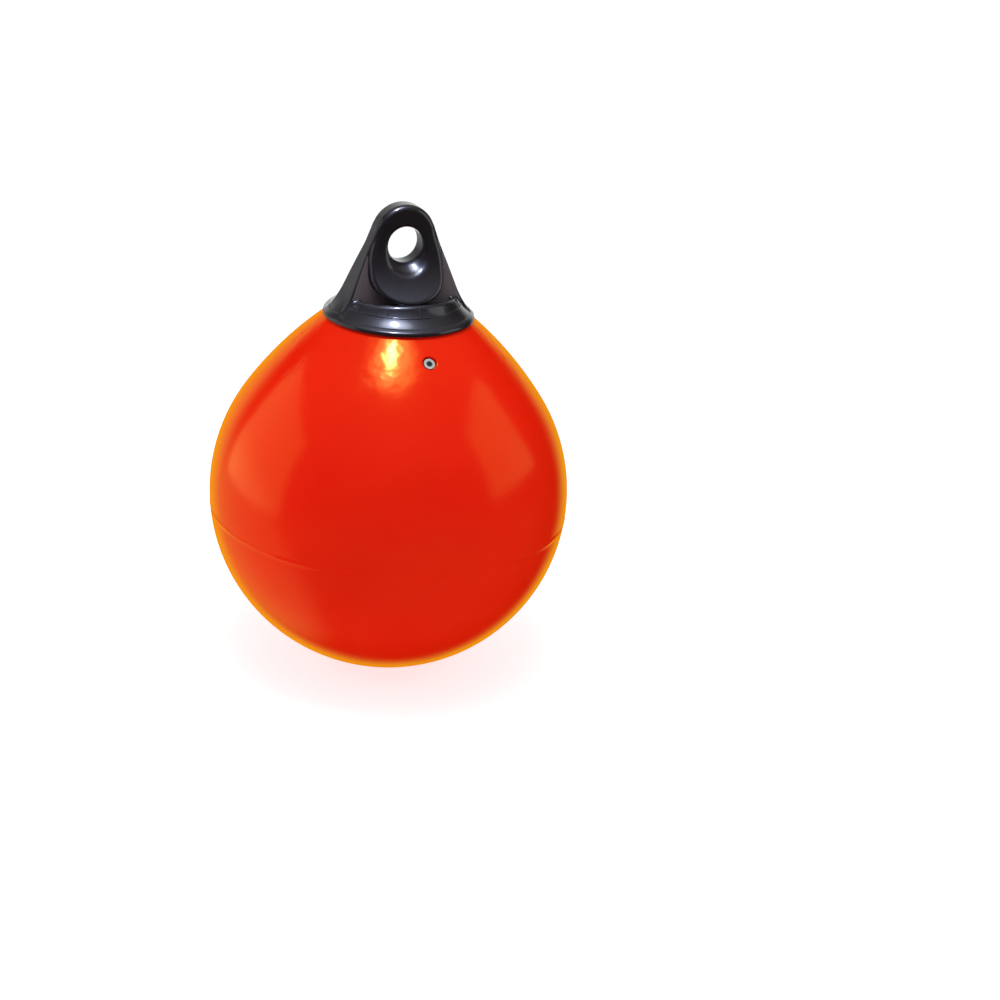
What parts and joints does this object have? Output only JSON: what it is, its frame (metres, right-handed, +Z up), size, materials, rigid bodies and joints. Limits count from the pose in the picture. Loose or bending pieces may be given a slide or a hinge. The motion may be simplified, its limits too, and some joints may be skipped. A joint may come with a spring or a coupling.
{
  "type": "ball fender",
  "caption": "Inflatable ball fender of smooth orange vinyl, with a black moulded rope hold and a rope eye on its conical shoulder and a screw valve below the rim.",
  "frame": {"origin": "centre of the rope eye's bore", "axes": "+Z up along the ball's axis, from the ball to the top of the rope hold; Y along the bore of the rope eye, with the valve on the -Y side; X across the plate of the rope hold"},
  "size_m": [0.5401, 0.54, 0.7141],
  "materials": {
    "vinyl_skin": "smooth glossy orange vinyl",
    "vinyl_black": "smooth satin black vinyl",
    "valve_grey": "light grey moulded plastic",
    "seal_rubber": "black rubber",
    "valve_dark": "dark moulded plastic"
  },
  "bodies": {
    "root": {"body": "vinyl_skin", "rope_hold": "vinyl_black", "valve_bush": "valve_grey", "valve_seal": "seal_rubber", "valve_screw": "valve_dark"}
  },
  "joints": []
}
